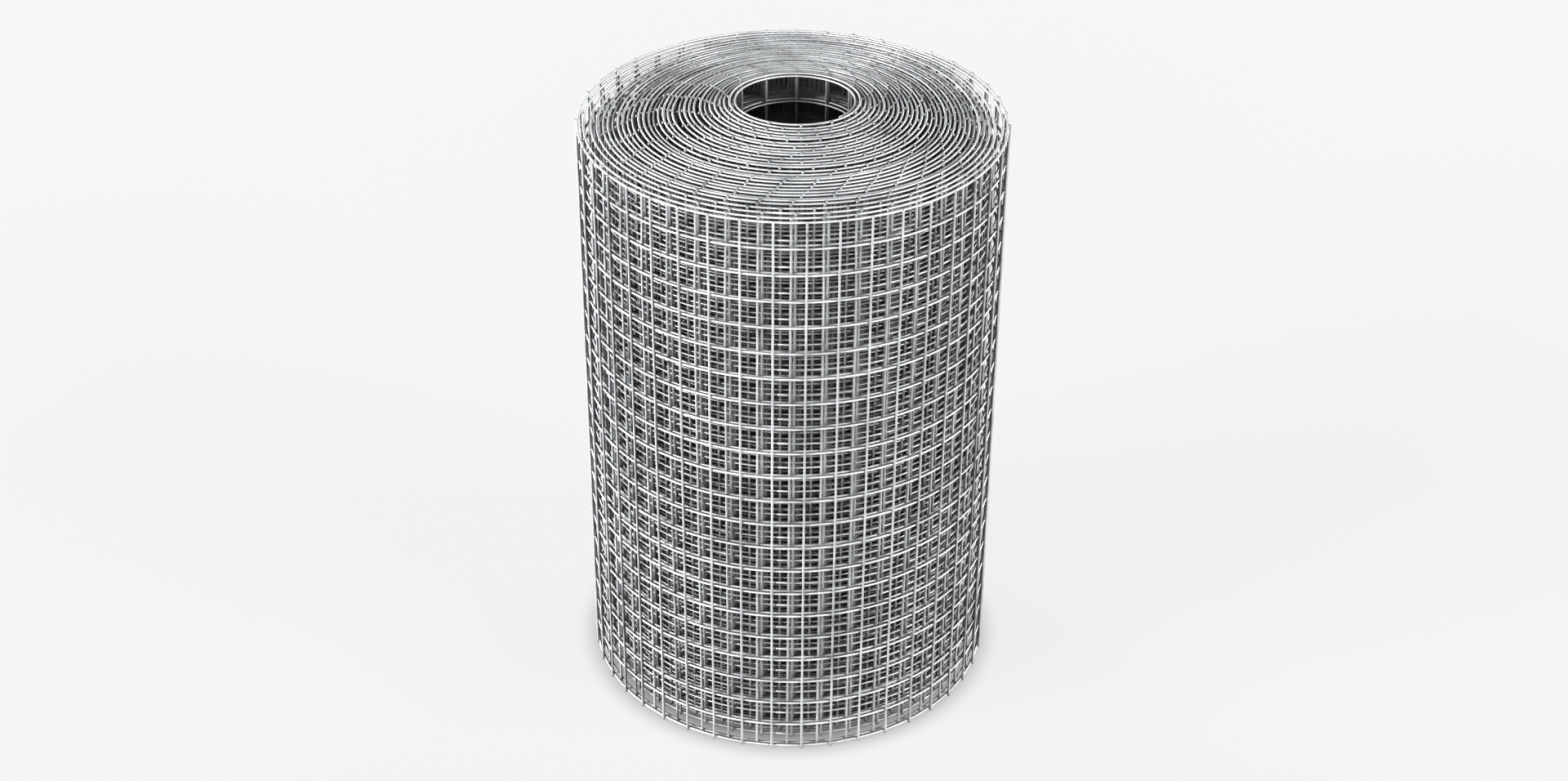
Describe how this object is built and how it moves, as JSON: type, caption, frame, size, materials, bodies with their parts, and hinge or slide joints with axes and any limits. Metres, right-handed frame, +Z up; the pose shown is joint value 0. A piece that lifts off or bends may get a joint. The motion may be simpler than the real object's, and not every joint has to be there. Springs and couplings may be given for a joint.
{
  "type": "roll of welded wire mesh",
  "caption": "Galvanised welded wire mesh wound into an open-bored roll, standing on its end, for fencing, cages and guards.",
  "frame": {"origin": "on the roll's axis, at the floor it stands on", "axes": "+Z up along the roll's axis; -Y faces the camera of the picture"},
  "size_m": [0.388, 0.388, 0.5808],
  "materials": {
    "galvanised_wire": "galvanised, satin"
  },
  "bodies": {
    "root": {"mesh_roll": "galvanised_wire"}
  },
  "joints": []
}
